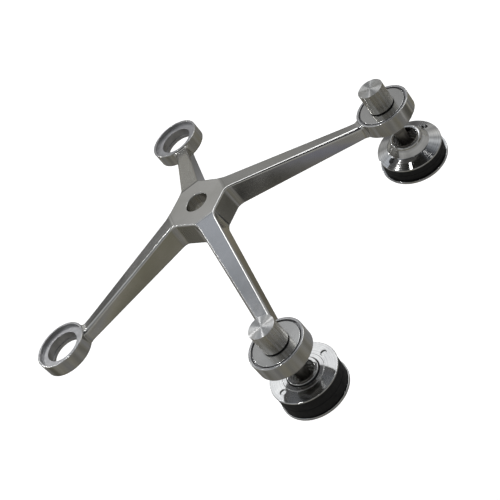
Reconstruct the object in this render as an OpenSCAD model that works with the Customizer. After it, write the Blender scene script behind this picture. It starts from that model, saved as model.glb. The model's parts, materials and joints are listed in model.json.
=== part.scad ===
// Four-arm glass spider fitting with two ball-jointed glass bolts.
// Frame: +Z along the hub bore, towards the supporting structure. The origin is the
// middle of the hub bore. The arms lie on the diagonals and fall towards -Z, and the
// glass bolts hang below the two rings on the +X side.

/* [Spider casting] */
// Spacing of the ring bores along X and along Y
ring_pitch = 220; // [190:1:250]
// Fall from the hub face to the ring faces
ring_drop = 30; // [24:0.5:36]
// Width of the hub across its flat sides
hub_width = 46.5; // [44:0.5:50]
// Thickness of the hub
hub_depth = 20; // [16:0.5:24]
// Radius of the hub bolt hole
hub_bore_r = 9.25; // [8:0.25:11]
// Distance from the hub axis to the bend of the arms
bend_r = 24; // [23.5:0.1:25]
// Width of an arm at the hub
arm_hub_width = 15.8; // [14:0.2:18]
// Width of an arm at its ring
arm_ring_width = 11.6; // [10:0.2:14]
// Casting draft of the walls, from top to bottom
wall_draft = 1.3; // [0.5:0.1:2]
// Rounding of the top edges at the hub
hub_edge_r = 1.4; // [1:0.1:2]
// Rounding of the top edges at the rings
ring_edge_r = 3; // [2:0.1:3.5]

/* [Rings] */
// Outer radius of a ring
ring_r = 22; // [21:0.25:24]
// Height of a ring
ring_height = 12.5; // [11:0.5:15]
// Radius of the washer seat
seat_r = 20; // [19.5:0.1:20.5]
// Depth of the washer seat
seat_depth = 2.8; // [2:0.1:3.5]
// Radius of the ring bore
ring_bore_r = 14; // [13:0.25:16]
// Height of the lip at the foot of the ring bore
lip_height = 2.9; // [2:0.1:4]

/* [Glass bolt hardware] */
// Radius of the stud thread
stud_r = 6; // [5:0.5:6]
// Radius of the plain neck above the ball
neck_r = 4.75; // [4:0.25:4.75]
// Radius of the ball
ball_r = 7; // [6.5:0.1:7]
// Radius of the cap nut
cap_r = 10.2; // [9.5:0.1:11]
// Height of the cap nut
cap_height = 19; // [17:0.5:22]
// Radius of the upper washer
upper_washer_r = 18.8; // [17:0.1:19.3]
// Thickness of the upper washer
upper_washer_depth = 2.5; // [2:0.1:3]
// Radius of the lower washer
lower_washer_r = 19; // [17:0.5:21]
// Thickness of the lower washer
lower_washer_depth = 3; // [2:0.5:4]
// Width of the lock nut across its flats
lock_nut_width = 18; // [17:1:19]
// Thickness of the lock nut
lock_nut_depth = 6; // [5:0.5:7]

/* [Glass clamps] */
// Radius of the clamp flanges
flange_r = 25.9; // [25:0.1:27]
// Thickness of a flange at its rim
rim_depth = 1.4; // [1.2:0.1:2]
// Radius of the gaskets
gasket_r = 25.4; // [24.5:0.1:25.6]
// Thickness of the outer discs
disc_depth = 2.4; // [2:0.1:3]
// Radius of the thread between outer disc and clamp flange
boss_r = 12; // [11.8:0.1:12]
// Radius of the socket that the ball stud swings in
socket_r = 9.4; // [9.2:0.1:9.6]
// Radius of the glass bushes
bush_r = 16; // [15:0.5:17]
// Radius of the spanner holes in the flanges
spanner_hole_r = 2.4; // [2:0.1:3]
// Distance of the spanner holes from the axis
spanner_hole_reach = 19.5; // [19.3:0.1:21]

/* [Hidden] */

$fn = 96;
cut = 1;                // how far a cutter runs past the faces that it cuts
thread_gap = 0.05;      // radial gap that stands for the clearance of a thread
slide_gap = 0.05;       // radial gap of the ball joint's running surfaces
bolt_gap = 0.3;         // radial gap of a stud in its washers

// Levels of the casting
hub_top = hub_depth / 2;
ring_top = hub_top - ring_drop;
ring_bottom = ring_top - ring_height;
ring_offset = ring_pitch / 2;
ring_reach = ring_offset * sqrt(2);
ring_corners = [[-1, 1], [-1, -1], [1, 1], [1, -1]];
lip_step = 0.8;         // how far the lip stands into the ring bore
lip_r = ring_bore_r - lip_step;

// One row for each glass bolt: the corner that it hangs from, its tilt about X and Y, the
// fall from the ring face to the ball's centre, and then levels above the ball's centre:
// underside of the flange, top of the socket, top of the threaded boss, outer disc's face.
// The last three are the outer disc's radius, whether the flange is domed, and the angle of
// its spanner holes.
DOMED = 0;
FLAT = 1;
bolts = [
    [[1, 1], [2.5, 11], 46.5, 0.2, 12.4, 7, -13.2, 27.2, DOMED, 65],
    [[1, -1], [-1, 5.5], 44, 8, 11.5, 11.5, -11, 26.3, FLAT, 62]
];
function corner(b) = bolts[b][0];
function tilt(b) = bolts[b][1];
function ball_level(b) = ring_top - bolts[b][2];
function flange_level(b) = bolts[b][3];
function socket_level(b) = bolts[b][4];
function boss_level(b) = bolts[b][5];
function face_level(b) = bolts[b][6];
function disc_r(b) = bolts[b][7];
function flange_kind(b) = bolts[b][8];
function spanner_angle(b) = bolts[b][9];

// ---------- the casting: a loft over the outline of hub and arms ----------

arm_end_r = ring_reach - ring_r;      // where an arm meets its ring
arm_step = 1.6;                       // the arm's top lands this far below the ring face
arm_lift = 0.8;                       // the arm's underside ends this far above the ring's
top_fall = (ring_drop + arm_step) / (arm_end_r - bend_r);
bottom_fall = (hub_top - hub_depth - ring_bottom - arm_lift) / (arm_end_r - bend_r);
foot_r = 1;                           // chamfer of the bottom edges
hub_fillet_r = 12;
ring_fillet_r = 6;
fillet_steps = 5;
arm_steps = 7;
edge_steps = 4;
blend = 0.3;                          // how far the ring fillets run into the rings
arm_root = 6;                         // how far an arm runs on into its ring
arm_end_reach = arm_end_r + arm_root;

function along(r) = max(0, min(1, (r - bend_r) / (arm_end_r - bend_r)));
function arm_half(r) = (arm_hub_width + (arm_ring_width - arm_hub_width)
    * (r - bend_r) / (arm_end_r - bend_r)) / 2;
function edge_r(r) = hub_edge_r + (ring_edge_r - hub_edge_r) * along(r);
function top_at(r) = hub_top - max(0, r - bend_r) * top_fall;
function bottom_at(r) = hub_top - hub_depth - along(r) * (arm_end_r - bend_r) * bottom_fall;

// An arm's edge is a straight line whose normal leans by this angle from straight across
taper = atan((arm_hub_width - arm_ring_width) / 2 / (arm_end_r - bend_r));
function across(angle) = [sin(angle), cos(angle)];
edge_distance = across(taper) * [bend_r, arm_half(bend_r)];
side_distance = hub_width / 2;

// Centre of the fillet between the hub's side, at 45 degrees to the arm, and the arm's edge
function meet(n1, d1, n2, d2) =
    let (det = n1[0] * n2[1] - n1[1] * n2[0])
    [(d1 * n2[1] - d2 * n1[1]) / det, (n1[0] * d2 - n2[0] * d1) / det];
hub_fillet = meet(across(45), side_distance + hub_fillet_r,
    across(taper), edge_distance + hub_fillet_r);

// Centre of the fillet between the arm's edge and its ring
ring_centre = [ring_reach, 0];
edge_run = [cos(taper), -sin(taper)];
fillet_off = edge_distance + ring_fillet_r;
fillet_back = sqrt(pow(ring_r - blend + ring_fillet_r, 2)
    - pow(fillet_off - ring_centre * across(taper), 2));
ring_fillet = across(taper) * fillet_off + edge_run * (ring_centre * edge_run - fillet_back);
ring_angle = atan2(ring_fillet[0] - ring_reach, ring_fillet[1]);

function arc(centre, radius, from, to, steps) =
    [for (i = [0:steps]) let (a = from + (to - from) * i / steps)
        concat(centre - radius * across(a), a)];

hub_arc = arc(hub_fillet, hub_fillet_r, 45, taper, fillet_steps);
ring_arc = arc(ring_fillet, ring_fillet_r, taper, ring_angle, fillet_steps);
arm_from = hub_arc[fillet_steps][0];
arm_to = ring_arc[0][0];
arm_line = [for (i = [1:arm_steps - 1])
    let (r = arm_from + (arm_to - arm_from) * i / arm_steps) [r, arm_half(r), taper]];
arm_end = [[arm_end_reach, ring_arc[fillet_steps][1] - blend, ring_angle]];

// Half the outline of one arm, as [distance from the hub, half width, angle of the normal]
half = concat(hub_arc, arm_line, ring_arc, arm_end);
half_count = len(half);

// Levels of the loft, from the bottom face up: 0 and 1 are the foot, the rest round the top edge
level_count = edge_steps + 3;
function outset(p, level) =
    level == 0 ? wall_draft - foot_r
    : level == 1 ? wall_draft
    : -edge_r(p[0]) * (1 - cos(90 * (level - 2) / edge_steps));
function reach(p, level) = p[0] + outset(p, level) * sin(p[2]);
function height(p, level) =
    level < 2 ? bottom_at(reach(p, level)) + level * foot_r
    : top_at(reach(p, level)) - edge_r(p[0]) * (1 - sin(90 * (level - 2) / edge_steps));

function loft_point(arm, side, p, level) =
    let (a = 45 + 90 * arm, r = reach(p, level),
        w = side * (p[1] + outset(p, level) * cos(p[2])))
    [r * cos(a) - w * sin(a), r * sin(a) + w * cos(a), height(p, level)];

loft_points = [for (level = [0:level_count - 1]) for (arm = [0:3]) for (side = [-1, 1])
    for (k = [0:half_count - 1])
        loft_point(arm, side, half[side < 0 ? k : half_count - 1 - k], level)];

ring_count = 8 * half_count;
function right(arm, k, level) = level * ring_count + arm * 2 * half_count + k;
function left(arm, k, level) = level * ring_count + (arm + 1) * 2 * half_count - 1 - k;

// The last station of the half outline that still lies on the flat of the hub
function last_flat(level) = len([for (p = half) if (reach(p, level) <= bend_r) 1]) - 1;

function cap_hub(level) = [for (arm = [0:3]) for (side = [-1, 1]) for (k = [0:last_flat(level)])
    side < 0 ? right(arm, k, level) : left(arm, last_flat(level) - k, level)];
function cap_arms(level) = [for (arm = [0:3]) for (k = [last_flat(level):half_count - 2])
    [right(arm, k, level), right(arm, k + 1, level), left(arm, k + 1, level), left(arm, k, level)]];
function turned(face) = [for (i = [len(face) - 1:-1:0]) face[i]];
function cap(level) = concat([cap_hub(level)], cap_arms(level));

wall_faces = [for (level = [0:level_count - 2]) for (i = [0:ring_count - 1])
    let (low = level * ring_count, next = (i + 1) % ring_count, high = low + ring_count)
    each [[low + i, high + i, high + next], [low + i, high + next, low + next]]];
loft_faces = concat(wall_faces, cap(0), [for (face = cap(level_count - 1)) turned(face)]);

module cast_arms() {
    polyhedron(points = loft_points, faces = loft_faces, convexity = 6);
}

// ---------- helpers ----------

// Solid of revolution from a list of [radius, height] corners
module turned_part(profile) {
    rotate_extrude() polygon(profile);
}

// Corners of a convex quarter round: centre, radius and the angle that it starts from
function quarter(centre, radius, from, steps = 4) =
    [for (i = [0:steps]) let (a = from + 90 * i / steps) centre + radius * [cos(a), sin(a)]];

module on_corner(c) {
    translate([c[0] * ring_offset, c[1] * ring_offset, ring_top]) children();
}

// Places a piece of a glass clamp, drawn about the ball's centre, at its tilt
module on_ball(b) {
    translate([corner(b)[0] * ring_offset, corner(b)[1] * ring_offset, ball_level(b)])
        rotate([tilt(b)[0], tilt(b)[1], 0]) children();
}

// Zone of a spherical shell between two levels
module shell_zone(inner_r, outer_r, low, high) {
    difference() {
        intersection() {
            sphere(r = outer_r);
            translate([0, 0, low]) cylinder(r = outer_r + cut, h = high - low);
        }
        sphere(r = inner_r);
    }
}

// ---------- spider ----------

ring_edge = 1;
ring_foot = 0.6;

module ring_blank() {
    turned_part(concat(
        [[0, -ring_height], [ring_r - ring_foot, -ring_height], [ring_r, ring_foot - ring_height]],
        quarter([ring_r - ring_edge, -ring_edge], ring_edge, 0), [[0, 0]]));
}

module ring_bore() {
    translate([0, 0, -seat_depth]) cylinder(r = seat_r, h = seat_depth + cut);
    translate([0, 0, lip_height - ring_height])
        cylinder(r = ring_bore_r, h = ring_height - lip_height);
    translate([0, 0, -ring_height - cut]) cylinder(r = lip_r, h = ring_height);
}

hub_bevel = 0.6;

module hub_bore() {
    cylinder(r = hub_bore_r, h = hub_depth + 2 * cut, center = true);
    for (end = [0, 1]) mirror([0, 0, end]) translate([0, 0, hub_top - hub_bevel])
        cylinder(r1 = hub_bore_r, r2 = hub_bore_r + hub_bevel + cut, h = hub_bevel + cut);
}

module spider_body() {
    color("silver") difference() {
        union() {
            cast_arms();
            for (c = ring_corners) on_corner(c) ring_blank();
        }
        for (c = ring_corners) on_corner(c) ring_bore();
        hub_bore();
    }
}

// ---------- bolt hardware, drawn about the ring face ----------

washer_top = upper_washer_depth - seat_depth;
stud_hole_r = stud_r + bolt_gap;
cap_neck_step = 1.5;
cap_neck_r = cap_r - cap_neck_step;
cap_neck_height = 0.8;
cap_edge = 0.3;
cap_thread_depth = 15;
stud_end_gap = 1;      // space left above the stud inside the cap nut
stud_top = washer_top + cap_thread_depth - stud_end_gap;
nut_level = -ring_height - lower_washer_depth;
washer_edge = 0.4;

module cap_nut(b) {
    top = washer_top + cap_height;
    color("lightgray") on_corner(corner(b)) difference() {
        turned_part([[0, washer_top], [cap_neck_r, washer_top],
            [cap_neck_r, washer_top + cap_neck_height], [cap_r - cap_edge, washer_top + cap_neck_height],
            [cap_r, washer_top + cap_neck_height + cap_edge], [cap_r, top - cap_edge],
            [cap_r - cap_edge, top], [0, top]]);
        translate([0, 0, washer_top - cut]) cylinder(r = stud_r + thread_gap, h = cap_thread_depth + cut);
    }
}

// A flat washer with its upper face at the given level
module washer(b, top, radius, depth) {
    color("lightgray") on_corner(corner(b)) difference() {
        turned_part([[0, top - depth], [radius - washer_edge, top - depth],
            [radius, top - depth + washer_edge], [radius, top - washer_edge],
            [radius - washer_edge, top], [0, top]]);
        translate([0, 0, top - depth - cut]) cylinder(r = stud_hole_r, h = depth + 2 * cut);
    }
}

module upper_washer(b) {
    washer(b, washer_top, upper_washer_r, upper_washer_depth);
}

module lower_washer(b) {
    washer(b, -ring_height, lower_washer_r, lower_washer_depth);
}

module lock_nut(b) {
    corner_r = lock_nut_width / 2 / cos(30);
    bevel = 0.8;
    color("silver") on_corner(corner(b)) translate([0, 0, nut_level - lock_nut_depth]) difference() {
        intersection() {
            cylinder(r = corner_r, h = lock_nut_depth, $fn = 6);
            turned_part([[0, 0], [corner_r - bevel, 0], [corner_r, bevel / 2],
                [corner_r, lock_nut_depth - bevel / 2], [corner_r - bevel, lock_nut_depth],
                [0, lock_nut_depth]]);
        }
        translate([0, 0, -cut]) cylinder(r = stud_r + thread_gap, h = lock_nut_depth + 2 * cut);
    }
}

shank_tail = 5;       // thread that shows below the lock nut
stud_bevel = 0.8;

module ball_stud(b) {
    ball_centre = -bolts[b][2];
    shank_end = nut_level - lock_nut_depth - shank_tail;
    shoulder = stud_r - neck_r;
    color("gray") on_corner(corner(b)) union() {
        turned_part([[0, ball_centre], [neck_r, ball_centre], [neck_r, shank_end - shoulder],
            [stud_r, shank_end], [stud_r, stud_top - stud_bevel], [stud_r - stud_bevel, stud_top],
            [0, stud_top]]);
        translate([0, 0, ball_centre]) sphere(r = ball_r);
    }
}

// ---------- ball joint, drawn about the ball's centre ----------

liner_wall = 1.2;
liner_r = ball_r + liner_wall;
cavity_r = liner_r + slide_gap;
cup_top = -3.4;        // the cup may turn on the ball below this level
seat_low = 0.3;
seat_high = 3.6;       // opening of the upper liner, wide enough for the neck at full tilt

module lower_liner(b) {
    color("whitesmoke") on_ball(b) shell_zone(ball_r + slide_gap, liner_r, -liner_r, cup_top);
}

module upper_liner(b) {
    color("whitesmoke") on_ball(b) shell_zone(ball_r + slide_gap, liner_r, seat_low, seat_high);
}

ring_nut_top = 5.2;
throat_r = 7.4;        // mouth of the retaining ring, clear of the neck at full tilt

module retaining_ring(b) {
    color("darkgray") on_ball(b) difference() {
        translate([0, 0, seat_low]) cylinder(r = socket_r - thread_gap, h = ring_nut_top - seat_low);
        sphere(r = cavity_r);
        translate([0, 0, seat_low]) cylinder(r = throat_r, h = ring_nut_top);
    }
}

// ---------- glass clamp, drawn about the ball's centre ----------

thread_r = boss_r + thread_gap;
thread_mouth = 0.6;    // bevel at the mouth of the threaded boss
boss_clearance = 0.5;  // space left above the boss inside the domed flange
brim_r = 16.8;         // where the brim of the domed flange turns up into its neck
brim_rise = 4.7;
mouth_edge = 0.8;      // flat of the lip round the mouth of the domed flange
mouth_round = 2.6;

module domed_flange(b) {
    low = flange_level(b);
    high = socket_level(b);
    thread_top = boss_level(b) + boss_clearance;
    turned_part(concat(
        [[socket_r, thread_top], [thread_r, thread_top], [thread_r, low], [flange_r, low],
            [flange_r, low + rim_depth], [brim_r, low + brim_rise]],
        quarter([socket_r + mouth_edge, high - mouth_round], mouth_round, 0), [[socket_r, high]]));
}

collar_r = 15.7;       // raised collar of the flat flange
collar_rise = 0.4;
hub_of_flange_r = 16.8;  // thicker middle of the flat flange, let into the gasket
hub_of_flange_depth = 3;

module flat_flange(b) {
    low = flange_level(b);
    top = low + rim_depth;
    turned_part([[thread_r, low - hub_of_flange_depth], [hub_of_flange_r, low - hub_of_flange_depth],
        [hub_of_flange_r, low], [flange_r, low], [flange_r, top - washer_edge],
        [flange_r - washer_edge, top], [collar_r, top],
        [collar_r - collar_rise / 2, top + collar_rise], [thread_r + thread_mouth, top + collar_rise],
        [thread_r, top + collar_rise - thread_mouth]]);
}

spanner_hole_floor = 0.5;  // metal left under the blind spanner holes

module clamp_flange(b) {
    color("silver") on_ball(b) difference() {
        if (flange_kind(b) == DOMED) domed_flange(b); else flat_flange(b);
        for (side = [0, 180]) rotate([0, 0, side + spanner_angle(b)])
            translate([spanner_hole_reach, 0, flange_level(b) + spanner_hole_floor])
                cylinder(r = spanner_hole_r, h = socket_level(b) - flange_level(b), $fn = 32);
    }
}

// The black gaskets share the space between flange and disc, and part at its middle
function gasket_top(b) = flange_level(b);
function gasket_bottom(b) = face_level(b) + disc_depth;
function gasket_middle(b) = (gasket_top(b) + gasket_bottom(b)) / 2;
gasket_edge = 0.5;
bush_gap = 0.2;
gasket_mouth_r = bush_r + 1;   // bevelled mouth of a gasket's hole

module gasket(b, low, high, recess_r, recess_depth) {
    color("#151515") on_ball(b) turned_part([[bush_r + bush_gap, low], [gasket_r - gasket_edge, low],
        [gasket_r, low + gasket_edge], [gasket_r, high - gasket_edge], [gasket_r - gasket_edge, high],
        [recess_r, high], [recess_r, high - recess_depth], [bush_r + bush_gap, high - recess_depth]]);
}

module inner_gasket(b) {
    if (flange_kind(b) == FLAT)
        gasket(b, gasket_middle(b), gasket_top(b), hub_of_flange_r + bush_gap, hub_of_flange_depth);
    else
        gasket(b, gasket_middle(b), gasket_top(b), gasket_mouth_r, gasket_edge);
}

module outer_gasket(b) {
    gasket(b, gasket_bottom(b), gasket_middle(b), gasket_mouth_r, gasket_edge);
}

module glass_bush(b) {
    top = gasket_top(b) - (flange_kind(b) == FLAT ? hub_of_flange_depth : 0);
    color("dimgray") on_ball(b) translate([0, 0, gasket_bottom(b)]) difference() {
        cylinder(r = bush_r, h = top - gasket_bottom(b));
        translate([0, 0, -cut]) cylinder(r = thread_r + bush_gap, h = top - gasket_bottom(b) + 2 * cut);
    }
}

module outer_disc(b) {
    low = face_level(b);
    top = boss_level(b);
    shelf = low + disc_depth;
    edge = 0.5;
    color("lightgray") on_ball(b) difference() {
        turned_part([[0, low], [disc_r(b) - edge, low], [disc_r(b), low + edge],
            [disc_r(b), shelf - edge / 2], [disc_r(b) - edge / 2, shelf], [boss_r, shelf],
            [boss_r, top - thread_mouth], [boss_r - thread_mouth, top], [0, top]]);
        sphere(r = cavity_r);
        cylinder(r = cavity_r, h = seat_low);
        translate([0, 0, seat_low]) cylinder(r = socket_r, h = top);
    }
}

spider_body();
cap_nut(0);  // cap_nut_1
upper_washer(0);  // upper_washer_1
lower_washer(0);  // lower_washer_1
lock_nut(0);  // lock_nut_1
ball_stud(0);  // ball_stud_1
lower_liner(0);  // lower_liner_1
upper_liner(0);  // upper_liner_1
retaining_ring(0);  // retaining_ring_1
clamp_flange(0);  // clamp_flange_1
inner_gasket(0);  // inner_gasket_1
outer_gasket(0);  // outer_gasket_1
glass_bush(0);  // glass_bush_1
outer_disc(0);  // outer_disc_1
cap_nut(1);  // cap_nut_2
upper_washer(1);  // upper_washer_2
lower_washer(1);  // lower_washer_2
lock_nut(1);  // lock_nut_2
ball_stud(1);  // ball_stud_2
lower_liner(1);  // lower_liner_2
upper_liner(1);  // upper_liner_2
retaining_ring(1);  // retaining_ring_2
clamp_flange(1);  // clamp_flange_2
inner_gasket(1);  // inner_gasket_2
outer_gasket(1);  // outer_gasket_2
glass_bush(1);  // glass_bush_2
outer_disc(1);  // outer_disc_2
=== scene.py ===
"""Glass spider fitting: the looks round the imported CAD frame.

Places come from the frame and are in metres, and so are the studio's lengths. The part's own
lengths that are named in capitals, and the corners of turned sections, are in millimetres.
"""

import json
import math
from collections import namedtuple

import bpy
from mathutils import Matrix, Vector


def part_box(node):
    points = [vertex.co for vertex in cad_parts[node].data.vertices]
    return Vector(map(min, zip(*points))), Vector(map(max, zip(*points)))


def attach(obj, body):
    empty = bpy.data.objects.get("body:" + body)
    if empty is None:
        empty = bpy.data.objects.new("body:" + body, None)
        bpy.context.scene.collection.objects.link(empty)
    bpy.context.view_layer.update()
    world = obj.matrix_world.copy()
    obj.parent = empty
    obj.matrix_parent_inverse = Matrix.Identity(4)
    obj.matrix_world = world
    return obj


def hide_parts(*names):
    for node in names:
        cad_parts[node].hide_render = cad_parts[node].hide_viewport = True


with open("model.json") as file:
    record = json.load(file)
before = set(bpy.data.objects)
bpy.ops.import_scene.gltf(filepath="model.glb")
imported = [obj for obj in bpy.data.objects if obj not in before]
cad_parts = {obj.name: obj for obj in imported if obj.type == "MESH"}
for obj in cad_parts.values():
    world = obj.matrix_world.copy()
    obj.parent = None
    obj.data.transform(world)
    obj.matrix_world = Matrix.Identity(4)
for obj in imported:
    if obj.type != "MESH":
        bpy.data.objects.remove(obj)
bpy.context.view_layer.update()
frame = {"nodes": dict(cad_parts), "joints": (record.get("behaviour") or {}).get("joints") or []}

MM = 0.001

# ---------------------------------------------------------------- places from the frame

RING_R = 22.0
RING_HEIGHT = 12.5

spider_lo, spider_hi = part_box("spider_body")
hub_top = spider_hi.z
ring_top = spider_lo.z + RING_HEIGHT * MM
ring_offset = spider_hi.x - RING_R * MM
joints = {joint["name"]: joint for joint in frame["joints"]}


class Bolt:
    """Where one glass bolt sits: its post on the ring's face, and its tilted head round the ball."""

    def __init__(self, n):
        self.n = n
        ball = Vector(joints["tilt_x_" + n]["pos_m"])
        axis = Vector(joints["spin_" + n]["axis"])
        tilt_y = Matrix.Rotation(math.atan2(axis.x, axis.z), 4, "Y")
        tilt_x = Matrix.Rotation(math.asin(-axis.y), 4, "X")
        washer_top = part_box("upper_washer_" + n)[1].z
        self.head = Matrix.Translation(ball) @ tilt_y @ tilt_x
        self.post = Matrix.Translation(Vector((ball.x, ball.y, ring_top)))
        self.ball_height = (ball.z - ring_top) / MM
        self.washer_top = (washer_top - ring_top) / MM


# ---------------------------------------------------------------- mesh helpers

NORMAL_WEIGHT = 50
EDGE_SHARE = 0.49  # the most that one rounding takes of an edge of its section
ON_AXIS = 1e-7  # metres; a corner nearer to the axis than this lies on it


def make(name, verts, faces, matrix=None):
    """A smooth mesh object of its own."""
    mesh = bpy.data.meshes.new(name)
    mesh.from_pydata(verts, [], faces)
    mesh.validate()
    mesh.shade_smooth()
    obj = bpy.data.objects.new(name, mesh)
    bpy.context.scene.collection.objects.link(obj)
    if matrix is not None:
        obj.matrix_world = matrix
    return obj


def weighted(obj):
    """Keeps broad faces flat to the eye, so that only the narrow ones between them look round."""
    mod = obj.modifiers.new("normals", "WEIGHTED_NORMAL")
    mod.mode = "FACE_AREA_WITH_ANGLE"
    mod.weight = NORMAL_WEIGHT
    mod.keep_sharp = True
    return obj


def bevelled(obj, width, angle):
    """Rounds the edges that turn by more than the angle; the width is in millimetres."""
    mod = obj.modifiers.new("edges", "BEVEL")
    mod.width = width * MM
    mod.segments = 2
    mod.limit_method = "ANGLE"
    mod.angle_limit = math.radians(angle)
    return obj


def freeze(obj):
    """Applies the modifiers of obj."""
    graph = bpy.context.evaluated_depsgraph_get()
    mesh = bpy.data.meshes.new_from_object(obj.evaluated_get(graph))
    obj.modifiers.clear()
    obj.data = mesh
    return obj


def cut(obj, cutter):
    """Takes the cutter's solid out of obj."""
    mod = obj.modifiers.new("cut", "BOOLEAN")
    mod.operation = "DIFFERENCE"
    mod.solver = "EXACT"
    mod.object = cutter
    freeze(obj)
    bpy.data.objects.remove(cutter)
    return obj


def join(name, objs):
    """One mesh from several that have no modifiers left; all are already in place."""
    verts, faces = [], []
    for obj in objs:
        start = len(verts)
        place = obj.matrix_world
        verts += [place @ v.co for v in obj.data.vertices]
        faces += [[start + i for i in p.vertices] for p in obj.data.polygons]
        bpy.data.objects.remove(obj)
    return make(name, verts, faces)


def unit(value):
    """The value, held between 0 and 1."""
    return max(0, min(1, value))


def polar(radius, degrees):
    a = math.radians(degrees)
    return radius * math.cos(a), radius * math.sin(a)


def turned(v, angle):
    """A flat vector, turned by an angle in radians."""
    c, s = math.cos(angle), math.sin(angle)
    return Vector((v.x * c - v.y * s, v.x * s + v.y * c))


def rounded(corners, steps):
    """Turns (radius, height, rounding) corners into a smooth closed outline, in metres."""
    out = []
    for i, (r, z, soft) in enumerate(corners):
        here = Vector((r, z))
        if soft <= 0:
            out.append(here * MM)
            continue
        a = Vector(corners[i - 1][:2]) - here
        b = Vector(corners[(i + 1) % len(corners)][:2]) - here
        half = a.angle(b) / 2
        back = min(soft / math.tan(half), a.length * EDGE_SHARE, b.length * EDGE_SHARE)
        soft = back * math.tan(half)
        start = here + a.normalized() * back
        end = here + b.normalized() * back
        centre = here + (a.normalized() + b.normalized()).normalized() * (soft / math.sin(half))
        spoke = start - centre
        turn = spoke.angle_signed(end - centre)
        for k in range(steps + 1):
            out.append((centre + turned(spoke, -turn * k / steps)) * MM)
    return out


def lathe(name, corners, matrix, segments=128, steps=4):
    """Solid of revolution from (radius, height, rounding) corners, listed round the section."""
    verts, rows = [], []
    for p in rounded(corners, steps):
        start = len(verts)
        if p.x < ON_AXIS:
            verts.append((0, 0, p.y))
            rows.append([start] * segments)
            continue
        for k in range(segments):
            a = 2 * math.pi * k / segments
            verts.append((p.x * math.cos(a), p.x * math.sin(a), p.y))
        rows.append(list(range(start, start + segments)))
    faces = []
    for i, row in enumerate(rows):
        after = rows[(i + 1) % len(rows)]
        for k in range(segments):
            n = (k + 1) % segments
            face = list(dict.fromkeys((row[k], row[n], after[n], after[k])))
            if len(face) > 2:
                faces.append(face)
    return weighted(make(name, verts, faces, matrix))


THREAD_R = 6.0
THREAD_PITCH = 1.75
THREAD_DEPTH = 0.95
THREAD_FLANK = 2.6  # how steep the flanks are
THREAD_ROOT = 0.8  # how wide the root is
THREAD_SEGMENTS = 48
ROWS_PER_TURN = 10


def threaded(name, low, high, matrix):
    """A screw thread between two levels, with plain ends that run to the axis."""
    count = THREAD_SEGMENTS
    rows = int((high - low) / THREAD_PITCH * ROWS_PER_TURN)
    verts, faces = [], []
    for i in range(rows + 1):
        z = low + (high - low) * i / rows
        fade = min(1, (high - z) / THREAD_PITCH, (z - low) / THREAD_PITCH)
        for k in range(count):
            a = 2 * math.pi * k / count
            phase = (z / THREAD_PITCH - k / count) % 1
            ridge = unit(THREAD_FLANK * abs(2 * phase - 1) - THREAD_ROOT)
            r = THREAD_R - THREAD_DEPTH * (1 - ridge * fade)
            verts.append((r * math.cos(a) * MM, r * math.sin(a) * MM, z * MM))
    for start in range(0, rows * count, count):
        for k in range(count):
            n = (k + 1) % count
            faces.append([start + k, start + n, start + count + n, start + count + k])
    faces.append(list(range(count))[::-1])
    faces.append([rows * count + k for k in range(count)])
    return weighted(make(name, verts, faces, matrix))


# ---------------------------------------------------------------- the casting

ARMS = 4
HUB_HALF = 23.25  # from the hub's axis to its sides
HUB_DEPTH = 20.0
HUB_BORE_R = 9.25
HUB_BORE_EDGE = 9.4  # where the bore begins to widen, above and below the hub's middle
HUB_CUT_R = 10.9
HUB_CUT_HALF = 12.0
BEND = 24.0  # from the axis to the bend between the hub's faces and an arm's
BEND_SOFT = 1.6  # half the length over which hub and arm faces run into each other
HUB_FILLET = 12.0
RING_FILLET = 6.0
ARM_HUB = 7.9  # half the arm's width at the bend
ARM_RING = 5.8  # half the arm's width at the ring
DRAFT = 1.3  # how far the walls' feet stand out
FOOT = 1.2  # rounding of the lower edges
EDGE_HUB = 1.4  # rounding of the upper edges at the hub
EDGE_RING = 3.0  # rounding of the upper edges at the ring
ARM_STEP = 1.6  # from the ring's face down to the arm's top
ARM_LIFT = 0.8  # from the ring's underside up to the arm's
RISE = 1.1  # the arm's top climbs by this much at the ring
RISE_RUN = 5.5  # and does so over this run
ARM_IN_RING = 0.3  # how deep the arms end in the ring's wall

SEAT_R = 20.0
SEAT_DEPTH = 2.8
RING_BORE_R = 14.0
LIP_R = 13.2
LIP_HEIGHT = 2.9

HUB_STEPS = 26
ARM_STEPS = 14
RING_STEPS = 10
END_STEPS = 6
FOOT_STEPS = 3
EDGE_STEPS = 6
FADE = 0.7  # how fast the edge rounding fades in the ring's fillet
END_SHARE = 0.02  # the share of it that is left on the ring
FADING = 0.9  # stations with a smaller share than this are held inside the ring

hub_level = hub_top / MM
drop = (hub_top - ring_top) / MM
ring_reach = ring_offset / MM * math.sqrt(2)
arm_end = ring_reach - RING_R
arm_run = arm_end - BEND
skin_r = RING_R - ARM_IN_RING
top_fall = (drop + ARM_STEP) / arm_run
bottom_fall = (drop + RING_HEIGHT - HUB_DEPTH - ARM_LIFT) / arm_run
taper = math.degrees(math.atan((ARM_HUB - ARM_RING) / arm_run))

# A place on an arm's outline: distance along the arm, half width, direction of the outward
# normal, and the share of draught and edge rounding that applies there
Station = namedtuple("Station", "x half normal share")
# A height on the walls: on the foot or on the upper edge, with its steps outward and up or down
Level = namedtuple("Level", "foot out rise")


def across(degrees):
    """The unit vector at that angle from the arm's crosswise direction."""
    return Vector((math.sin(math.radians(degrees)), math.cos(math.radians(degrees))))


def cross_point(n1, d1, n2, d2):
    """Where the lines with these normals and distances from the axis meet."""
    det = n1.x * n2.y - n1.y * n2.x
    return Vector(((d1 * n2.y - d2 * n1.y) / det, (n1.x * d2 - n2.x * d1) / det))


def past_bend(x):
    """Distance past the bend, eased in over a short parabola."""
    u = x - BEND
    return max(0, u) if abs(u) > BEND_SOFT else (u + BEND_SOFT) ** 2 / (4 * BEND_SOFT)


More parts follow.
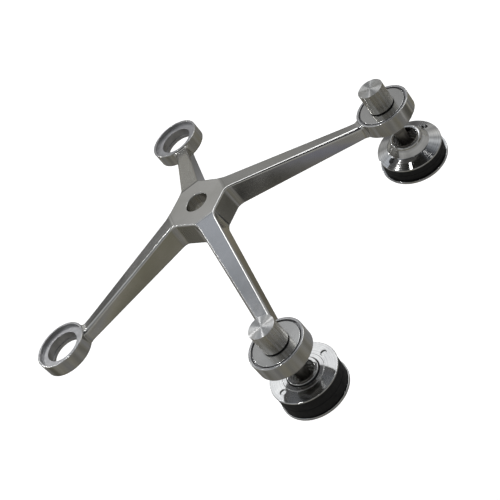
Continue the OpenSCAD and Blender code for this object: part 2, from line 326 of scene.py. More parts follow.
def climb(x, w):
    """How far the arm's top has risen toward the ring's face."""
    near = (RING_R + RISE_RUN - math.hypot(x - ring_reach, w)) / RISE_RUN
    return RISE * unit(near) ** 2


def edge(x):
    """The rounding of the upper edge at that distance along the arm."""
    return EDGE_HUB + (EDGE_RING - EDGE_HUB) * unit((x - BEND) / arm_run)


def arm_stations():
    """Half an arm's outline: hub side, hub fillet, arm side, ring fillet, and round in the ring."""
    side = across(taper)
    side_d = side.dot(Vector((BEND, ARM_HUB)))
    hub_c = cross_point(across(45), HUB_HALF + HUB_FILLET, side, side_d + HUB_FILLET)
    along = Vector((math.cos(math.radians(taper)), -math.sin(math.radians(taper))))
    ring_c = Vector((ring_reach, 0))
    out_d = side_d + RING_FILLET
    back = math.sqrt((skin_r + RING_FILLET) ** 2 - (out_d - ring_c.dot(side)) ** 2)
    fillet_c = side * out_d + along * (ring_c.dot(along) - back)
    ring_angle = math.degrees(math.atan2(fillet_c.x - ring_reach, fillet_c.y))

    stations = []
    for i in range(HUB_STEPS + 1):
        a = 45 + (taper - 45) * i / HUB_STEPS
        p = hub_c - across(a) * HUB_FILLET
        stations.append(Station(p.x, p.y, a, 1))
    x0 = stations[-1].x
    x1 = (fillet_c - side * RING_FILLET).x
    for i in range(1, ARM_STEPS):
        x = x0 + (x1 - x0) * i / ARM_STEPS
        stations.append(Station(x, (side_d - x * side.x) / side.y, taper, 1))
    for i in range(RING_STEPS + 1):
        a = taper + (ring_angle - taper) * i / RING_STEPS
        p = fillet_c - across(a) * RING_FILLET
        share = math.cos(math.pi / 2 * i / RING_STEPS) ** FADE if i < RING_STEPS else END_SHARE
        stations.append(Station(p.x, p.y, a, share))
    last = Vector((stations[-1].x - ring_reach, stations[-1].half))
    span = math.atan2(last.y, -last.x)
    for i in range(1, END_STEPS + 1):
        t = span * (1 - i / END_STEPS)
        x = ring_reach - last.length * math.cos(t)
        stations.append(Station(x, last.length * math.sin(t), 90, END_SHARE))
    return stations


def arm_levels():
    """The heights from the rounded foot to the rounded upper edge, from the bottom up."""
    levels = []
    for i in range(FOOT_STEPS + 1):
        t = math.pi / 2 * i / FOOT_STEPS
        levels.append(Level(True, DRAFT - FOOT * (1 - math.sin(t)), FOOT * (1 - math.cos(t))))
    for i in range(EDGE_STEPS + 1):
        t = math.pi / 2 * i / EDGE_STEPS
        levels.append(Level(False, 1 - math.cos(t), 1 - math.sin(t)))
    return levels


def skin_point(arm, side, station, level):
    """The point of the casting's skin at a station and a level, on one side of an arm."""
    x, w, normal, share = station
    rim = edge(x)
    outset = level.out * share if level.foot else -rim * level.out * share
    x += outset * math.sin(math.radians(normal))
    w += outset * math.cos(math.radians(normal))
    if share < FADING:
        x = min(x, ring_reach - math.sqrt(max(0, skin_r ** 2 - w * w)))
    beyond = past_bend(x)
    if level.foot:
        z = hub_level - HUB_DEPTH - min(beyond, arm_run) * bottom_fall + level.rise
    else:
        z = hub_level - beyond * top_fall - rim * share * level.rise + climb(x, w)
    w *= side
    a = math.radians(45 + 90 * arm)
    return (x * math.cos(a) - w * math.sin(a)) * MM, (x * math.sin(a) + w * math.cos(a)) * MM, z * MM


def casting_arms():
    """The hub and its four arms as one lofted skin; the arms end inside the rings."""
    stations = arm_stations()
    levels = arm_levels()
    count = len(stations)
    per_arm = 2 * count - 1
    total = per_arm * ARMS
    top_start = total * (len(levels) - 1)
    verts, faces = [], []
    for level in levels:
        for arm in range(ARMS):
            verts += [skin_point(arm, -1, station, level) for station in stations]
            verts += [skin_point(arm, 1, station, level) for station in stations[-2::-1]]
    for start in range(0, top_start, total):
        for i in range(total):
            n = (i + 1) % total
            faces.append([start + i, start + n, start + total + n, start + total + i])

    for base, underside in ((0, True), (top_start, False)):
        # The first arm points along x = y
        reach = [(x + y) / math.sqrt(2) / MM for x, y, z in verts[base:base + count]]
        before = max(k for k in range(count) if reach[k] <= BEND - BEND_SOFT)
        after = min(k for k in range(count) if reach[k] >= BEND + BEND_SOFT)
        near = max(k for k in range(count) if reach[k] <= arm_end - RISE_RUN - 1)
        hub, caps = [], []
        for arm in range(ARMS):
            start = base + arm * per_arm
            end = start + per_arm - 1
            hub += [start + k for k in range(before + 1)]
            hub += [end - k for k in range(before, -1, -1)]
            # Strips across the arm at its bend and in its ring, and one flat cap between them
            for k in (*range(before, after), *range(near, count - 1)):
                caps.append(list(dict.fromkeys((start + k, start + k + 1, end - k - 1, end - k))))
            there = [start + k for k in range(after, near + 1)]
            caps.append(there + [end - k for k in range(near, after - 1, -1)])
        caps.append(list(dict.fromkeys(hub)))
        faces += [face[::-1] if underside else face for face in caps]
    return make("arms", verts, faces)


def casting():
    """The whole spider: arms and hub with the hub's bore, and the four turned rings."""
    bore = freeze(lathe("hub_cutter", [
        (0, -HUB_CUT_HALF, 0), (HUB_CUT_R, -HUB_CUT_HALF, 0), (HUB_BORE_R, -HUB_BORE_EDGE, 0.5),
        (HUB_BORE_R, HUB_BORE_EDGE, 0.5), (HUB_CUT_R, HUB_CUT_HALF, 0), (0, HUB_CUT_HALF, 0),
    ], Matrix.Identity(4), segments=96))
    parts = [cut(casting_arms(), bore)]
    bottom = -RING_HEIGHT
    for sx, sy in ((1, 1), (1, -1), (-1, 1), (-1, -1)):
        at = Matrix.Translation(Vector((sx * ring_offset, sy * ring_offset, ring_top)))
        parts.append(freeze(lathe("ring", [
            (RING_R, bottom, 0.6), (RING_R, 0, 0.6), (SEAT_R, 0, 0.3), (SEAT_R, -SEAT_DEPTH, 0.25),
            (RING_BORE_R, -SEAT_DEPTH, 0.35), (RING_BORE_R, bottom + LIP_HEIGHT, 0.2),
            (LIP_R, bottom + LIP_HEIGHT, 0.2), (LIP_R, bottom, 0.4),
        ], at, segments=144)))
    return join("spider_casting", parts)


# ---------------------------------------------------------------- node trees

TINT_FROM, TINT_TO = 0.3, 0.7  # the part of a pattern's range that carries the contrast
END_FROM, END_TO = 0.4, 0.6  # the upright share of a normal, where a side turns into an end
PAINTED_SHADE_FROM, PAINTED_SHADE_TO = 0.35, 0.9  # how open a place is where the painted shade starts to thin out, and where it ends


class Tree:
    """A short way to write a node tree whose patterns follow one set of coordinates."""

    def __init__(self, tree, coords):
        self.tree = tree
        self.coords = self.add("ShaderNodeTexCoord").outputs[coords]

    def add(self, kind, **settings):
        node = self.tree.nodes.new(kind)
        for key, value in settings.items():
            setattr(node, key, value)
        return node

    def link(self, a, b):
        self.tree.links.new(a, b)

    def math(self, operation, a, b=None):
        node = self.add("ShaderNodeMath", operation=operation)
        for socket, value in zip(node.inputs, (a, b)):
            if isinstance(value, (int, float)):
                socket.default_value = value
            elif value is not None:
                self.link(value, socket)
        return node.outputs[0]

    def times(self, a, b):
        return self.math("MULTIPLY", a, b)

    def split(self, vector):
        node = self.add("ShaderNodeSeparateXYZ")
        self.link(vector, node.inputs[0])
        return node.outputs

    def measure(self, operation, point=None):
        """A number from the coordinates and a fixed point or direction."""
        node = self.add("ShaderNodeVectorMath", operation=operation)
        self.link(self.coords, node.inputs[0])
        if point is not None:
            node.inputs[1].default_value = point
        return node.outputs["Value"]

    def spread(self, value, low, high, start=TINT_FROM, end=TINT_TO, smooth=False):
        """Runs from low to high while the value runs from start to end."""
        kind = "SMOOTHSTEP" if smooth else "LINEAR"
        node = self.add("ShaderNodeMapRange", interpolation_type=kind)
        self.link(value, node.inputs["Value"])
        for key, number in (("From Min", start), ("From Max", end), ("To Min", low), ("To Max", high)):
            node.inputs[key].default_value = number
        return node.outputs["Result"]

    def noise(self, scale, detail=3, rough=0.5, vector=None):
        node = self.add("ShaderNodeTexNoise")
        node.inputs["Scale"].default_value = scale
        node.inputs["Detail"].default_value = detail
        node.inputs["Roughness"].default_value = rough
        self.link(vector or self.coords, node.inputs["Vector"])
        return node.outputs["Fac"]

    def ramp(self, value, stops):
        """Colours along a value, from (position, colour) stops in rising order."""
        node = self.add("ShaderNodeValToRGB")
        elements = node.color_ramp.elements
        elements[0].position, elements[0].color = stops[0][0], (*stops[0][1], 1)
        elements[1].position, elements[1].color = stops[-1][0], (*stops[-1][1], 1)
        for position, colour in stops[1:-1]:
            elements.new(position).color = (*colour, 1)
        self.link(value, node.inputs["Fac"])
        return node.outputs["Color"]

    def tint(self, value, dark, light):
        return self.ramp(value, ((TINT_FROM, dark), (TINT_TO, light)))

    def mix(self, under, over, share, kind="MIX"):
        """The first colour, with the second one mixed or multiplied in where share is 1."""
        node = self.add("ShaderNodeMix", data_type="RGBA", blend_type=kind)
        self.link(share, node.inputs["Factor"])
        self.link(under, node.inputs["A"])
        node.inputs["B"].default_value = (*over, 1)
        return node.outputs["Result"]

    def blend(self, colour, other, share, kind="MIX"):
        """The colour where share is 1, and the other one (mixed or multiplied in) where it is 0."""
        return self.mix(colour, other, self.math("SUBTRACT", 1, share), kind)


class Material(Tree):
    """A node tree that feeds the sockets of one material's shader."""

    def __init__(self, name):
        self.mat = bpy.data.materials.new(name)
        self.mat.use_nodes = True
        super().__init__(self.mat.node_tree, "Object")
        self.shader = self.tree.nodes["Principled BSDF"]

    def set(self, **values):
        """Constants, by socket name with _ for a space."""
        for key, value in values.items():
            self.shader.inputs[key.replace("_", " ")].default_value = value

    def feed(self, **values):
        """Node outputs, by socket name with _ for a space."""
        for key, value in values.items():
            self.link(value, self.shader.inputs[key.replace("_", " ")])

    def stretched(self, scale):
        node = self.add("ShaderNodeMapping")
        node.inputs["Scale"].default_value = scale
        self.link(self.coords, node.inputs["Vector"])
        return node.outputs["Vector"]

    def bumps(self, *layers):
        """Stacks (height, strength, distance in mm) layers of bump onto the shader."""
        normal = None
        for height, strength, distance in layers:
            node = self.add("ShaderNodeBump")
            node.inputs["Strength"].default_value = strength
            node.inputs["Distance"].default_value = distance * MM
            self.link(height, node.inputs["Height"])
            if normal is not None:
                self.link(normal, node.inputs["Normal"])
            normal = node.outputs["Normal"]
        self.feed(Normal=normal)

    def ends(self):
        """1 on faces that look along the piece's Z axis, and 0 on its sides."""
        normal = self.split(self.add("ShaderNodeTexCoord").outputs["Normal"])
        return self.spread(self.math("ABSOLUTE", normal[2]), 0, 1, END_FROM, END_TO)

    def painted_crevice_shade(self, colour, reach, dark):
        """Darkens a colour in the grooves and corners, as painted shade."""
        near = self.add("ShaderNodeAmbientOcclusion", samples=8)
        near.inputs["Distance"].default_value = reach * MM
        # Painted shade: the less open a place is, the darker its colour
        unshaded = self.spread(near.outputs["AO"], dark, 1, PAINTED_SHADE_FROM, PAINTED_SHADE_TO)
        return self.blend(colour, (0, 0, 0), unshaded)

    def lathe_marks(self, pitch):
        """Fine rings round the piece's own Z axis, on its faces and its sides alike."""
        x, y, z = self.split(self.coords)
        radius = self.math("SQRT", self.math("ADD", self.times(x, x), self.times(y, y)))
        along = self.times(self.math("ADD", radius, z), 1 / (pitch * MM))
        marks = self.add("ShaderNodeTexNoise", noise_dimensions="1D")
        marks.inputs["Scale"].default_value = 1
        marks.inputs["Detail"].default_value = 3
        self.link(along, marks.inputs["W"])
        return marks.outputs["Fac"]


# ---------------------------------------------------------------- materials


def cast_steel():
    """Polished casting: a faint swell under the polish, and painted shade in its crevices, as where the
    arms meet the rings.
    """
    n = Material("cast_steel")
    broad = n.noise(26)
    waves = n.noise(95, 2)
    fine = n.noise(900, 4, 0.6)
    colour = n.tint(broad, (0.49, 0.485, 0.465), (0.60, 0.595, 0.585))
    rough = n.math("ADD", n.spread(broad, 0.09, 0.17), n.spread(fine, -0.02, 0.04))
    n.set(Metallic=1)
    # Painted shade darkens the colour in the crevices
    n.feed(Base_Color=n.painted_crevice_shade(colour, 1.2, 0.45), Roughness=rough)
    n.bumps((broad, 0.2, 0.8), (waves, 0.16, 0.12), (fine, 0.05, 0.04))
    return n.mat


def seat_steel():
    """The machined seats and rims of the rings, duller than the polished casting."""
    n = Material("seat_steel")
    colour = n.tint(n.noise(180, 4), (0.40, 0.40, 0.41), (0.54, 0.54, 0.55))
    n.set(Metallic=1)
    # Painted shade darkens the colour in the crevices
    n.feed(Base_Color=n.painted_crevice_shade(colour, 0.8, 0.5), Roughness=n.spread(n.noise(700), 0.42, 0.54))
    n.bumps((n.noise(1100, 3, 0.6), 0.3, 0.06))
    return n.mat


def turned_steel(name, dark, light, rough, aniso, pitch, depth, side=(1, 1, 1), waves=0.0, painted_highlight_streaks=False):
    """Steel off the lathe: marks round the axis, and a highlight that is drawn out across them.

    The side colour, a brownish painted shade, and a lower roughness apply to the sides; streaks of painted
    highlight, which keep the ends' colour and roughness, run up them.
    """
    n = Material(name)
    marks = n.lathe_marks(pitch)
    colour = n.tint(n.math("ADD", n.times(marks, 0.6), n.times(n.noise(110), 0.4)), dark, light)
    face = n.ends()
    # Painted highlight: streaks up the sides keep the ends' lighter colour and their roughness
    if painted_highlight_streaks:
        upright = n.noise(1, 3, 0.6, n.stretched((420, 420, 9)))
        face = n.math("MAXIMUM", face, n.spread(upright, 0, 1, 0.4, 0.62))
    tangent = n.add("ShaderNodeTangent", direction_type="RADIAL", axis="Z")
    n.set(Metallic=1, Anisotropic=aniso, Anisotropic_Rotation=0.25)
    # Painted shade: the sides take the side colour's brownish darkening, and crevices darken
    n.feed(
        Base_Color=n.painted_crevice_shade(n.blend(colour, side, face, "MULTIPLY"), 2.0, 0.35),
        Roughness=n.times(n.spread(marks, *rough), n.spread(face, 0.7, 1, 0, 1)),
        Tangent=tangent.outputs["Tangent"],
    )
    n.bumps((n.noise(110, 2), 0.5, waves), (marks, 0.5, depth), (n.noise(1500, 2), 0.08, 0.03))
    return n.mat


def thread_steel():
    """Rolled threads, coloured dark."""
    n = Material("stud_steel")
    colour = n.tint(n.noise(220, 4), (0.16, 0.15, 0.135), (0.36, 0.35, 0.33))
    n.set(Metallic=1)
    n.feed(Base_Color=colour, Roughness=n.spread(n.noise(500), 0.3, 0.5))
    n.bumps((n.noise(1400), 0.3, 0.05))
    return n.mat


def rubber():
    """Black rubber with a trace of the mould's turning."""
    n = Material("gasket_rubber")
    colour = n.tint(n.noise(120, 5), (0.004, 0.004, 0.005), (0.011, 0.011, 0.012))
    n.set(Specular_IOR_Level=0.3)
    n.feed(Base_Color=colour, Roughness=n.spread(n.noise(300, 4), 0.5, 0.68))
    n.bumps((n.noise(1800), 0.35, 0.06), (n.lathe_marks(0.8), 0.25, 0.05))
    return n.mat


def nylon(name, dark, light):
    """Turned nylon, which lets a little light in."""
    n = Material(name)
    n.set(Subsurface_Weight=0.05)
    n.feed(Base_Color=n.tint(n.noise(90, 4), dark, light), Roughness=n.spread(n.noise(250), 0.38, 0.5))
    n.bumps((n.lathe_marks(0.3), 0.2, 0.02), (n.noise(1200, 2), 0.15, 0.03))
    return n.mat


# The caps' sides get a brownish painted shade, with streaks of painted highlight
CAP_FINISH = {
    "rough": (0.27, 0.33), "aniso": 1.0, "pitch": 0.25, "depth": 0.004,
    "side": (0.80, 0.77, 0.69), "painted_highlight_streaks": True,
}
CAST = cast_steel()
TURNED = turned_steel("turned_steel", (0.50, 0.50, 0.49), (0.60, 0.60, 0.59), **CAP_FINISH)
# A painted-lit copy of the caps' turned steel, paler, for cap nut 2
TURNED_PAINTED_LIT = turned_steel("turned_steel_painted_lit", (0.60, 0.60, 0.60), (0.72, 0.72, 0.715), **CAP_FINISH)
WASHER = turned_steel(
    "washer_steel", (0.52, 0.52, 0.52), (0.60, 0.60, 0.60),
    rough=(0.14, 0.20), aniso=0.5, pitch=0.35, depth=0.004)
POLISHED = turned_steel(
    "clamp_steel", (0.44, 0.44, 0.45), (0.70, 0.70, 0.69),
    rough=(0.06, 0.12), aniso=0.4, pitch=0.5, depth=0.003, waves=0.05)
PLAIN = turned_steel(
    "plain_steel", (0.42, 0.42, 0.41), (0.52, 0.52, 0.51),
    rough=(0.25, 0.38), aniso=0.3, pitch=0.4, depth=0.01)
STUD = thread_steel()
RUBBER = rubber()
LINER = nylon("liner_nylon", (0.72, 0.72, 0.68), (0.82, 0.82, 0.79))
BUSH = nylon("bush_nylon", (0.19, 0.19, 0.20), (0.27, 0.27, 0.28))

# ---------------------------------------------------------------- pieces


def paint(obj, material):
    obj.data.materials.clear()
    obj.data.materials.append(material)


def dress(obj, material, body, node):
    """Gives a drawn piece its material and its body, and hides the CAD node it stands for."""
    paint(obj, material)
    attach(obj, body)
    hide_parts(node)
    return obj


# The machined faces of a ring: its seat and bore, and the flat of its rim
DULL_R = 20.1
DULL_DEPTH = 0.4
RIM_FLAT_R = 21.3
RIM_FLAT_DEPTH = 0.02

spider = dress(weighted(casting()), CAST, "spider", "spider_body")
spider.data.materials.append(seat_steel())
for face in spider.data.polygons:
    x, y, z = face.center
    out = math.hypot(abs(x) - ring_offset, abs(y) - ring_offset)
    in_seat = out < DULL_R * MM and z < ring_top - DULL_DEPTH * MM
    on_rim = out < RIM_FLAT_R * MM and z > ring_top - RIM_FLAT_DEPTH * MM
    if in_seat or on_rim:
        face.material_index = 1

CAP_R = 10.2
CAP_HEIGHT = 19.0
CAP_FOOT_R = 8.7
CAP_FOOT_HEIGHT = 0.8
CAP_BORE_R = 6.05
CAP_BORE_DEPTH = 15.0
WASHER_BORE_R = 6.3
UPPER_WASHER_R = 18.8
UPPER_WASHER_HEIGHT = 2.5
LOWER_WASHER_R = 19.0
LOWER_WASHER_HEIGHT = 3.0
LOCK_NUT_HEIGHT = 6.0
STUD_BELOW_NUT = 5.0
STUD_IN_CAP = 14.0
BALL_R = 7.0
BALL_ANGLES = range(10, 138, 8)  # degrees round the ball, from its foot up to the neck
NECK_R = 4.75
SHOULDER_R = 5.5
SHOULDER_BELOW = 1.2  # where the neck's shoulder begins, below the end of the thread
SHOULDER_ABOVE = 0.4  # and where it is widest, above that end
CORE_R = 5.0
CORE_LENGTH = 3.0  # how far the neck runs on inside the thread


def hardware(bolt):
    """Cap nut, washers and stud, drawn about the ring face."""
    n, at = bolt.n, bolt.post
    foot = bolt.washer_top
    top = foot + CAP_HEIGHT
    bore_end = foot + CAP_BORE_DEPTH
    cap = lathe("cap_nut_" + n + "_turned", [
        (CAP_BORE_R, foot, 0.3), (CAP_FOOT_R, foot, 0.2), (CAP_FOOT_R, foot + CAP_FOOT_HEIGHT, 0),
        (CAP_R, foot + CAP_FOOT_HEIGHT, 0.35), (CAP_R, top, 0.3), (0, top, 0), (0, bore_end, 0),
        (CAP_BORE_R, bore_end, 0),
    ], at, segments=96)
    # Cap nut 2 is painted lighter, as if more brightly lit
    dress(cap, TURNED if n == "1" else TURNED_PAINTED_LIT, "spider", "cap_nut_" + n)

    under = foot - UPPER_WASHER_HEIGHT
    washer = lathe("upper_washer_" + n + "_turned", [
        (WASHER_BORE_R, under, 0.2), (UPPER_WASHER_R, under, 0.3),
        (UPPER_WASHER_R, foot, 0.45), (WASHER_BORE_R, foot, 0.3),
    ], at)
    dress(washer, WASHER, "spider", "upper_washer_" + n)

    ring_bottom = -RING_HEIGHT
    under = ring_bottom - LOWER_WASHER_HEIGHT
    washer = lathe("lower_washer_" + n + "_turned", [
        (WASHER_BORE_R, under, 0.2), (LOWER_WASHER_R, under, 0.5),
        (LOWER_WASHER_R, ring_bottom, 0.4), (WASHER_BORE_R, ring_bottom, 0.2),
    ], at)
    dress(washer, WASHER, "spider", "lower_washer_" + n)

    low = under - LOCK_NUT_HEIGHT - STUD_BELOW_NUT
    thread = threaded("stud_thread_" + n, low, foot + STUD_IN_CAP, at)
    ball = bolt.ball_height
    neck_foot = ball + BALL_R * math.cos(math.asin(NECK_R / BALL_R))
    core_top = low + CORE_LENGTH
    sphere = [polar(BALL_R, a - 90) for a in BALL_ANGLES]
    stud = lathe("ball_stud_" + n + "_turned", [
        (0, ball - BALL_R, 0), *[(r, ball + z, 0) for r, z in sphere], (NECK_R, neck_foot, 0.8),
        (NECK_R, low - SHOULDER_BELOW, 0.5), (SHOULDER_R, low + SHOULDER_ABOVE, 0),
        (CORE_R, core_top, 0), (0, core_top, 0),
    ], at, segments=64)
    dress(thread, STUD, "spider", "ball_stud_" + n)
    dress(stud, STUD, "spider", "ball_stud_" + n)


BOSS_R = 12.0
SOCKET_MOUTH_R = 9.4
SOCKET_R = 8.25
SOCKET_EDGE = 0.3  # where the socket's bowl begins, above the ball's centre
BOWL_ANGLES = range(0, 90, 9)  # degrees down from the bowl's edge
FLANGE_R = 25.9
FLANGE_BORE_R = 12.05
FLANGE_RIM = 1.4  # height of the flange's rim
HUB_STEP_R = 16.8  # foot of the domed flange's cone, and the flat one's spigot
CEILING_GAP = 0.5  # between the boss and the domed flange over it
CONE_FOOT = 4.7  # height of the cone's foot over the domed flange's underside
CROWN_FOOT_R = 12.8
CROWN_R = 12.2
CROWN_HEIGHT = 2.5
COLLAR_FOOT_R = 15.9  # the low collar round the flat flange's bore
COLLAR_R = 15.6
COLLAR_MOUTH_R = 12.7
COLLAR_HEIGHT = 0.4
MOUTH_DEPTH = 0.4  # how far the flat flange's bore begins under the rim
SPANNER_R = 2.4
SPANNER_OFFSET = 19.5
SPANNER_FLOOR = 0.5  # what is left of the flange under a spanner hole
SPANNER_REACH = 12.0
GASKET_R = 25.4
GASKET_BORE_R = 16.2
GASKET_STEP_R = 17.0
OUTER_GASKET_STEP = 0.5
DISC_HEIGHT = 2.4

# Heights from the ball's centre: the flange's underside, its crown, the boss and the disc's face
Clamp = namedtuple("Clamp", "domed low high boss face disc_r spanner_angle gasket_step")
CLAMPS = {
    "1": Clamp(
        domed=True, low=0.2, high=12.4, boss=7.0, face=-13.2,
        disc_r=27.2, spanner_angle=65, gasket_step=0.5),
    "2": Clamp(
        domed=False, low=8.0, high=None, boss=11.5, face=-11.0,
        disc_r=26.3, spanner_angle=62, gasket_step=3.0),
}


def flange_section(c):
    """The flange that screws onto the boss: a dome that covers it, or a flat disc round it."""
    rim = c.low + FLANGE_RIM
    if c.domed:
        ceiling = c.boss + CEILING_GAP
        return [
            (SOCKET_MOUTH_R, ceiling, 0.2), (FLANGE_BORE_R, ceiling, 0), (FLANGE_BORE_R, c.low, 0.3),
            (FLANGE_R, c.low, 0.5), (FLANGE_R, rim, 0.5), (HUB_STEP_R, c.low + CONE_FOOT, 2.2),
            (CROWN_FOOT_R, c.high - CROWN_HEIGHT, 1.5), (CROWN_R, c.high, 1.9),
            (SOCKET_MOUTH_R, c.high, 0.5),
        ]
    spigot = c.low - c.gasket_step
    collar = rim + COLLAR_HEIGHT
    return [
        (FLANGE_BORE_R, spigot, 0.2), (HUB_STEP_R, spigot, 0.4), (HUB_STEP_R, c.low, 0.1),
        (FLANGE_R, c.low, 0.45), (FLANGE_R, rim, 0.5), (COLLAR_FOOT_R, rim, 0.15),
        (COLLAR_R, collar, 0.2), (COLLAR_MOUTH_R, collar, 0.3), (FLANGE_BORE_R, rim - MOUTH_DEPTH, 0.2),
    ]


def clamp(bolt):
    """The two-part clamp with its gaskets, drawn about the ball's centre."""
    n, at = bolt.n, bolt.head
    body = "head_" + n
    c = CLAMPS[n]
    shelf = c.face + DISC_HEIGHT
    middle = (c.low + shelf) / 2

    steps = 5 if c.domed else 4
    flange = lathe("clamp_flange_" + n + "_polished", flange_section(c), at, segments=160, steps=steps)
    freeze(flange)
    floor_level = c.low + SPANNER_FLOOR
    hole_top = c.low + SPANNER_REACH
    for side in (0, 180):
        hx, hy = polar(SPANNER_OFFSET, c.spanner_angle + side)
        hole = lathe("hole", [
            (0, floor_level, 0), (SPANNER_R, floor_level, 0.3), (SPANNER_R, hole_top, 0), (0, hole_top, 0),
        ], at @ Matrix.Translation(Vector((hx, hy, 0)) * MM), segments=32)
        cut(flange, freeze(hole))
    weighted(bevelled(flange, width=0.25, angle=50))
    dress(flange, POLISHED, body, "clamp_flange_" + n)

    spigot = c.low - c.gasket_step
    inner = lathe("inner_gasket_" + n + "_moulded", [
        (GASKET_BORE_R, middle, 0.3), (GASKET_R, middle, 0.7), (GASKET_R, c.low, 0.7),
        (GASKET_STEP_R, c.low, 0), (GASKET_STEP_R, spigot, 0), (GASKET_BORE_R, spigot, 0.2),
    ], at)
    dress(inner, RUBBER, body, "inner_gasket_" + n)
    step = middle - OUTER_GASKET_STEP
    outer = lathe("outer_gasket_" + n + "_moulded", [
        (GASKET_BORE_R, shelf, 0.3), (GASKET_R, shelf, 0.7), (GASKET_R, middle, 0.7),
        (GASKET_STEP_R, middle, 0.2), (GASKET_STEP_R, step, 0), (GASKET_BORE_R, step, 0.2),
    ], at)
    dress(outer, RUBBER, body, "outer_gasket_" + n)

    bowl = [(*polar(SOCKET_R, -a), 0) for a in BOWL_ANGLES]
    disc = lathe("outer_disc_" + n + "_turned", [
        (0, c.face, 0), (c.disc_r, c.face, 0.7), (c.disc_r, shelf, 0.5), (BOSS_R, shelf, 0.3),
        (BOSS_R, c.boss, 0.6), (SOCKET_MOUTH_R, c.boss, 0.3), (SOCKET_MOUTH_R, SOCKET_EDGE, 0),
        (SOCKET_R, SOCKET_EDGE, 0), *bowl, (0, -SOCKET_R, 0),
    ], at, segments=160)
    dress(disc, POLISHED, body, "outer_disc_" + n)


for bolt in (Bolt("1"), Bolt("2")):
    hardware(bolt)
    clamp(bolt)

# The pieces that keep their CAD mesh get a finish and broken edges
KEPT = {
    "lock_nut_": PLAIN, "retaining_ring_": PLAIN, "lower_liner_": LINER, "upper_liner_": LINER,
    "glass_bush_": BUSH,
}
for n in "12":
    for node, material in KEPT.items():
        piece = frame["nodes"][node + n]
        paint(piece, material)
        bevelled(piece, width=0.15, angle=40)

# ---------------------------------------------------------------- studio

FLOOR_LEVEL = -0.26
FLOOR_SIZE = 16
CARD_LEVEL = FLOOR_LEVEL + 0.004
CARD_SIZE = 14


def plane(name, size, z):
    """A level square stage surface."""
    s = size / 2
    mesh = bpy.data.meshes.new(name)
    mesh.from_pydata([(-s, -s, z), (s, -s, z), (s, s, z), (-s, s, z)], [], [[0, 1, 2, 3]])
    obj = bpy.data.objects.new(name, mesh)
    bpy.context.scene.collection.objects.link(obj)
    return obj


floor = plane("floor", FLOOR_SIZE, FLOOR_LEVEL)
pale = Material("floor")
pale_colour = pale.tint(pale.noise(3, 2), (0.88, 0.88, 0.88), (0.90, 0.90, 0.90))
pale.set(Roughness=0.9)
# The floor glows for the rays that see it, so that it reads as white
rays = pale.add("ShaderNodeLightPath").outputs
seen = pale.math("ADD", rays["Is Camera Ray"], rays["Is Glossy Ray"])
seen = pale.math("MINIMUM", pale.math("ADD", seen, rays["Is Transmission Ray"]), 1)
pale.feed(Base_Color=pale_colour, Emission_Color=pale_colour, Emission_Strength=pale.times(seen, 0.8))
paint(floor, pale.mat)

# A bench-coloured card just over the floor, which only reflections see. It stands for what the
# photographer's table and room show in the steel: (x, y, radius, level) patches of light and
# dark, and (x, y, radius, colour) patches of another colour.
LEVEL_PATCHES = (
    (0.43, -0.42, 0.11, 0.2), (0.45, 0.29, 0.1, 0.4), (-0.10, 0.27, 0.1, 0.6),
    (-0.38, -0.33, 0.12, 0.55), (-0.33, 0.47, 0.08, 0.7), (0.36, 0.38, 0.03, 2.2),
    (0.48, 0.12, 0.03, 2.0),
)
COLOUR_PATCHES = (
    (0.30, -0.62, 0.2, (0.78, 0.74, 0.57)), (0.62, -0.40, 0.08, (0.74, 0.76, 1.0)),
    (-0.10, 0.3, 0.15, (0.95, 0.87, 0.68)),
)
PATCH_CORE, PATCH_EDGE = 0.5, 1.3  # shares of a patch's radius between which it fades
CARD_NEAR, CARD_FAR = 0.27, 0.42  # the card's light near the part and far from it
CARD_NEAR_R, CARD_FAR_R = 0.6, 1.5

card = plane("bench_card", CARD_SIZE, CARD_LEVEL)
bench = Material("bench_card")
bench.set(Base_Color=(0, 0, 0, 1), Roughness=1.0, Specular_IOR_Level=0.0)


def patch(x, y, radius, level):
    """Falls from 1 to the level round a point of the bench."""
    away = bench.measure("DISTANCE", (x, y, CARD_LEVEL))
    return bench.spread(away, level, 1, radius * PATCH_CORE, radius * PATCH_EDGE)


bench_colour = bench.tint(bench.noise(4, 3, 0.6), (0.86, 0.81, 0.62), (0.88, 0.89, 0.94))
glow = bench.spread(bench.measure("LENGTH"), CARD_NEAR, CARD_FAR, CARD_NEAR_R, CARD_FAR_R)
glow = bench.times(glow, bench.spread(bench.noise(9, 2), 0.7, 1.25))
for x, y, radius, level in LEVEL_PATCHES:
    glow = bench.times(glow, patch(x, y, radius, level))
for x, y, radius, colour in COLOUR_PATCHES:
    bench_colour = bench.blend(bench_colour, colour, patch(x, y, radius, 0))
bench.feed(Emission_Color=bench_colour, Emission_Strength=glow)
paint(card, bench.mat)
card.visible_camera = card.visible_diffuse = card.visible_shadow = card.visible_transmission = False

LAMP_DISTANCE = 1.8


def lamp(name, elevation, azimuth, size, radiance, tall=None):
    """A soft box in that direction from the object, facing it."""
    data = bpy.data.lights.new(name, "AREA")
    data.shape = "RECTANGLE"
    data.size = size
    data.size_y = tall or size
    data.energy = radiance * math.pi * data.size * data.size_y
    obj = bpy.data.objects.new(name, data)
    bpy.context.scene.collection.objects.link(obj)
    e, a = math.radians(elevation), math.radians(azimuth)
    toward = Vector((math.cos(e) * math.cos(a), math.cos(e) * math.sin(a), math.sin(e)))
    obj.location = toward * LAMP_DISTANCE
    obj.rotation_mode = "QUATERNION"
    obj.rotation_quaternion = toward.to_track_quat("Z", "Y")


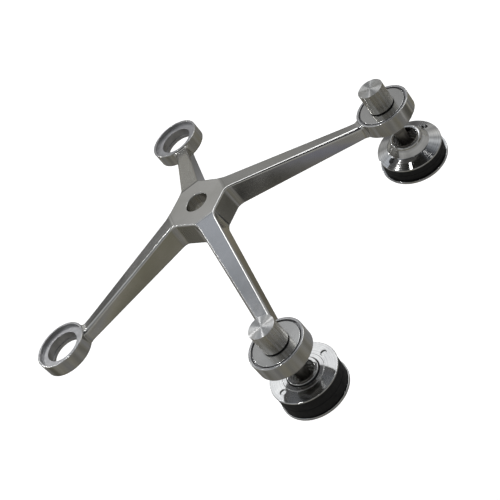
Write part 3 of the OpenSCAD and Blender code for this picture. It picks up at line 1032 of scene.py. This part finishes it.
lamp("window", 49, 135, size=0.34, radiance=0.85)
lamp("rafter", 74, -164, size=0.13, radiance=60)
lamp("edges", 50, -176, size=0.11, radiance=12)
lamp("wall_lamp", 33, 168, size=0.16, radiance=22)
lamp("doorway", 22, 101, size=0.14, radiance=5)
lamp("strip", 53, 93, size=0.46, radiance=3.0, tall=0.8)
lamp("zenith", 86, 0, size=0.08, radiance=8)
lamp("right", 61, 48, size=0.12, radiance=6)
lamp("bevel", 50, -40, size=0.2, radiance=0.8)

# ---------------------------------------------------------------- the room that the steel reflects

# Colour of the room by the height of the direction, from straight down to straight up
ROOM = (
    (-1, (0.24, 0.23, 0.20)), (-0.02, (0.31, 0.31, 0.29)), (0.04, (0.30, 0.30, 0.28)),
    (0.10, (0.17, 0.17, 0.17)), (0.35, (0.17, 0.17, 0.17)), (0.44, (0.43, 0.43, 0.42)),
    (0.56, (0.56, 0.56, 0.55)), (0.75, (0.50, 0.52, 0.54)), (0.92, (0.44, 0.47, 0.53)),
    (0.955, (0.15, 0.15, 0.14)), (1, (0.10, 0.10, 0.09)),
)
DARK_END = (0.55, -0.30, 0.78)  # toward the dark end of the room, over the camera
DARK_CORNER = (-0.567, 0.630, 0.530)
LIT_WALLS = (0.8, -0.6, 0)
WALL_COLOUR = (0.42, 0.42, 0.41)

world = bpy.data.worlds.new("studio")
bpy.context.scene.world = world
world.use_nodes = True
world.node_tree.nodes.clear()
sky = Tree(world.node_tree, "Generated")


def toward(direction, low, high, start, end):
    """Runs from low to high while the cosine of the angle to a direction runs from start to end."""
    return sky.spread(sky.measure("DOT_PRODUCT", direction), low, high, start, end, smooth=True)


height = sky.split(sky.coords)[2]
room = sky.ramp(sky.spread(height, 0, 1, -1, 1), [((z + 1) / 2, colour) for z, colour in ROOM])
uneven = sky.spread(sky.noise(6), 0.6, 1.4, start=0.35, end=0.65)
shade = toward(DARK_END, low=1, high=0.15, start=0.5, end=0.8)
corner = toward(DARK_CORNER, low=1, high=0.62, start=0.984, end=0.9985)
shaded = sky.add("ShaderNodeVectorMath", operation="SCALE")
sky.link(room, shaded.inputs[0])
sky.link(sky.times(corner, sky.times(uneven, shade)), shaded.inputs["Scale"])
# The walls behind the camera and beside it are lit evenly up to head height
behind = toward(LIT_WALLS, low=0, high=1, start=-0.75, end=-0.35)
head_height = sky.spread(height, 1, 0, start=0.38, end=0.60, smooth=True)
walls = sky.mix(shaded.outputs["Vector"], WALL_COLOUR, sky.times(behind, head_height))
# The camera itself sees plain white
camera_ray = sky.add("ShaderNodeLightPath").outputs["Is Camera Ray"]
background = sky.add("ShaderNodeBackground")
sky.link(sky.mix(walls, (1, 1, 1), camera_ray), background.inputs["Color"])
sky.link(background.outputs[0], sky.add("ShaderNodeOutputWorld").inputs[0])

# ---------------------------------------------------------------- camera

SENSOR_WIDTH = 36
LENS = 87.52
SHIFT_X, SHIFT_Y = -0.0317, 0.0092
EYE = Vector((0.63059, -0.47270, 0.49082))
# The picture's own directions
RIGHT = Vector((0.76396, 0.36935, -0.5291))
DOWN = Vector((-0.05088, -0.78294, -0.62001))
AHEAD = Vector((-0.64325, 0.50059, -0.57934))

camera = bpy.data.cameras.new("camera")
camera.sensor_width = SENSOR_WIDTH
camera.lens = LENS
camera.shift_x, camera.shift_y = SHIFT_X, SHIFT_Y
eye = bpy.data.objects.new("camera", camera)
bpy.context.scene.collection.objects.link(eye)
eye.matrix_world = Matrix.Translation(EYE) @ Matrix((RIGHT, -DOWN, -AHEAD)).transposed().to_4x4()
bpy.context.scene.camera = eye
bpy.context.scene.view_settings.view_transform = "Standard"
